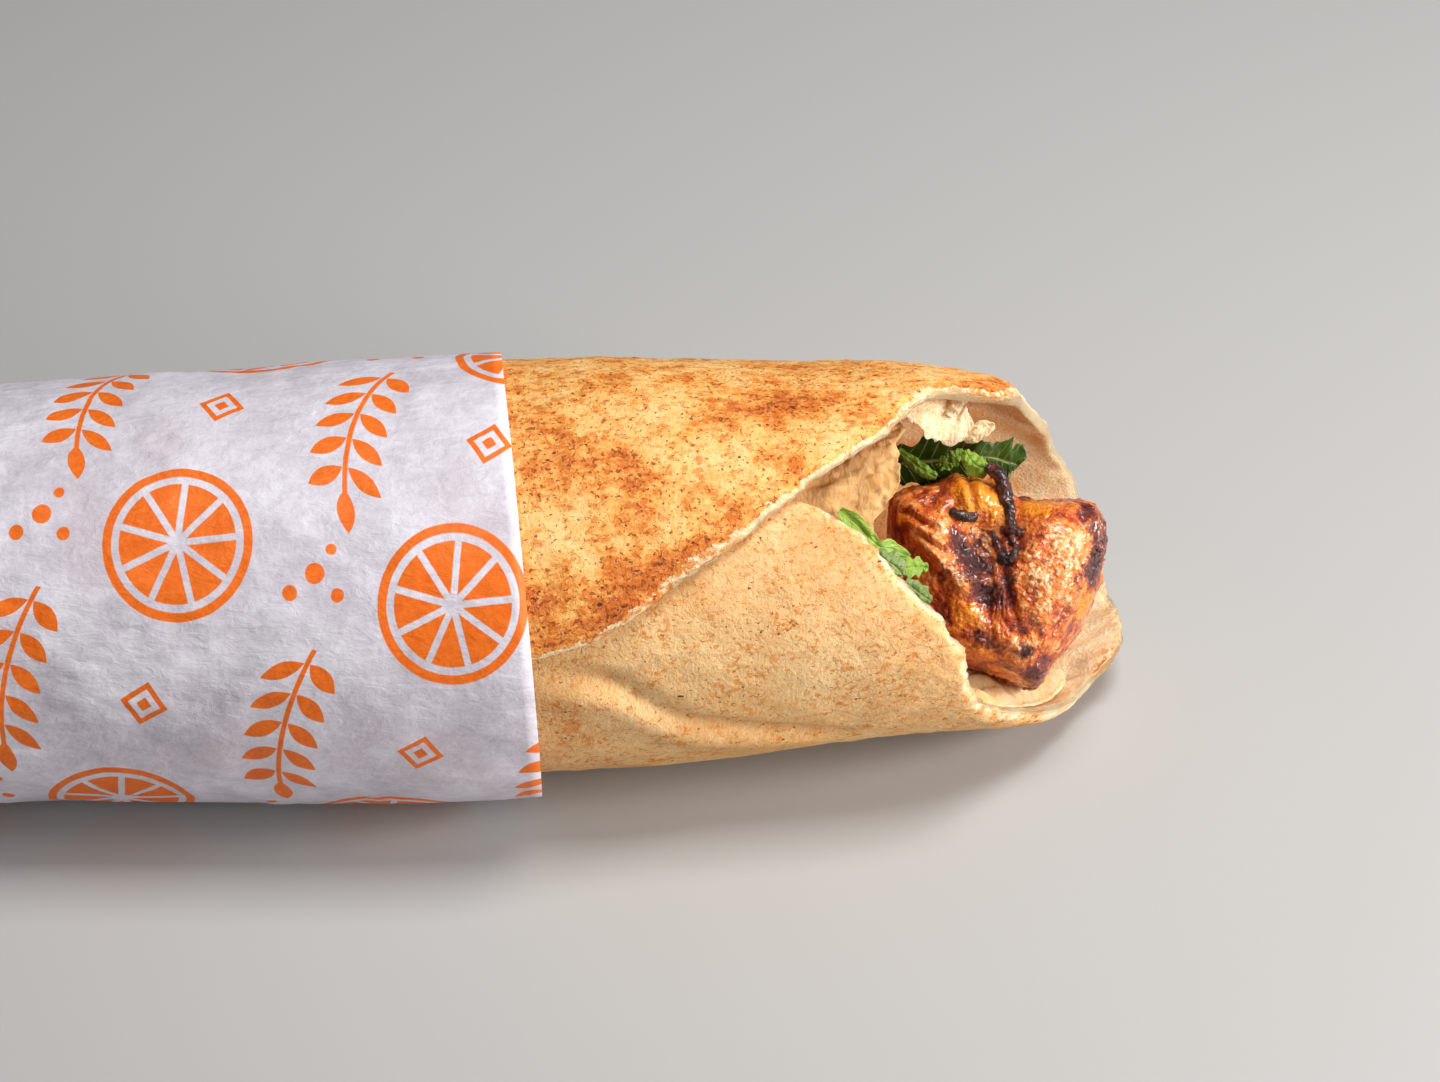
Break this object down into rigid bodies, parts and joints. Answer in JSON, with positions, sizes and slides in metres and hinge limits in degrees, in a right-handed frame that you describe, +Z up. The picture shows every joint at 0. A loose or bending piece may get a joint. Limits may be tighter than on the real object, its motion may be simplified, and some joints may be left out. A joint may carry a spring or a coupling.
{
  "type": "shish tawook sandwich",
  "caption": "Grilled chicken and greens rolled in a toasted flatbread, open at one end, in a twisted paper sleeve. It lies on its side.",
  "frame": {"origin": "on the surface that the wrap lies on, under the middle of its bounding box", "axes": "+X along the roll towards its open mouth, -Y towards the viewer's side with the flap, +Z up"},
  "size_m": [0.216, 0.0637, 0.0547],
  "materials": {
    "paper": "thin greaseproof paper, pale lilac-grey with orange print",
    "bread": "dry toasted bread skin with brown specks",
    "bread_inside": "soft cream crumb",
    "bread_soaked": "moist crumb, peach with juice",
    "chicken": "glazed and charred meat",
    "filling": "moist cooked meat",
    "greens": "fresh leaf"
  },
  "bodies": {
    "root": {"paper_sleeve": "paper", "flatbread": "bread", "bread_inner_ply": "bread_inside", "bread_soaked_fold": "bread_soaked", "bread_torn_strip": "bread_inside", "chicken_piece": "chicken", "filling_core": "filling", "leaf_back_left": "greens", "stem_back": "greens", "leaf_back_small": "greens", "leaf_back_drop": "greens", "leaf_back_right": "greens", "leaf_front_stalk": "greens", "leaf_front_under": "greens", "leaf_front_tip": "greens", "leaf_front_lower": "greens"}
  },
  "joints": []
}
